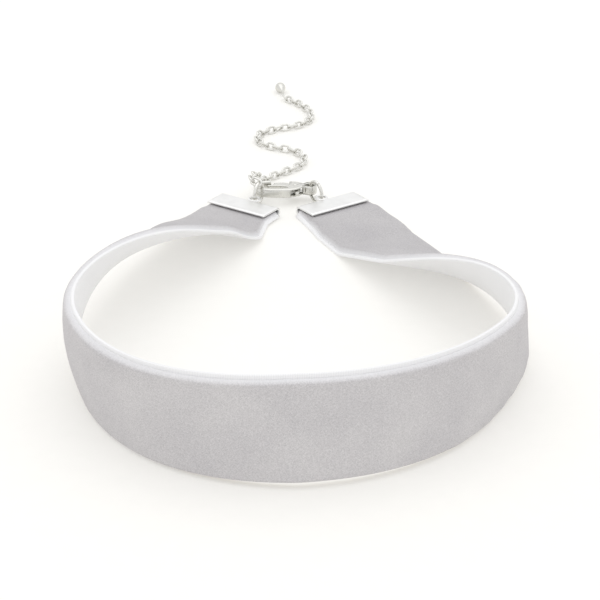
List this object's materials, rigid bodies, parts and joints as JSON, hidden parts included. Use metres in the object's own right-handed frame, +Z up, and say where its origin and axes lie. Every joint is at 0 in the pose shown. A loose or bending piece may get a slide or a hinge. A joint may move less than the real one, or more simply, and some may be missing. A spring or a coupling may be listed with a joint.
{
  "type": "choker necklace",
  "caption": "Velvet ribbon choker lying closed on its lower edge, with folded metal ends, a lobster clasp and an extender chain with a small drop.",
  "frame": {"origin": "on the floor it lies on, under the middle of its bounding box", "axes": "+Z up; +Y from the wearer's front towards the clasp and the extender chain; +X towards the right clamp"},
  "size_m": [0.0888, 0.2094, 0.0216],
  "materials": {
    "velvet": "short pale lilac-grey pile, woven selvages",
    "silver_plate": "bright plated sheet",
    "silver_wire": "bright plated wire",
    "silver_cast": "bright plated casting"
  },
  "bodies": {
    "necklace": {"velvet_ribbon": "velvet", "left_end_clamp": "silver_plate", "right_end_clamp": "silver_plate", "left_jump_ring": "silver_wire", "right_jump_ring": "silver_wire", "clasp_body": "silver_cast", "extender_chain": "silver_wire", "chain_end_drop": "silver_cast"},
    "lever": {"clasp_lever": "silver_cast"}
  },
  "joints": [
    {"name": "lever_hinge", "type": "hinge", "parent": "necklace", "child": "lever", "pos_m": [-0.00089, 0.02389, 0.00285], "axis": [0, 0, 1], "range_deg": [0, 22], "stiffness_Nm_per_rad": 0.0005, "springref_deg": -17.19}
  ]
}
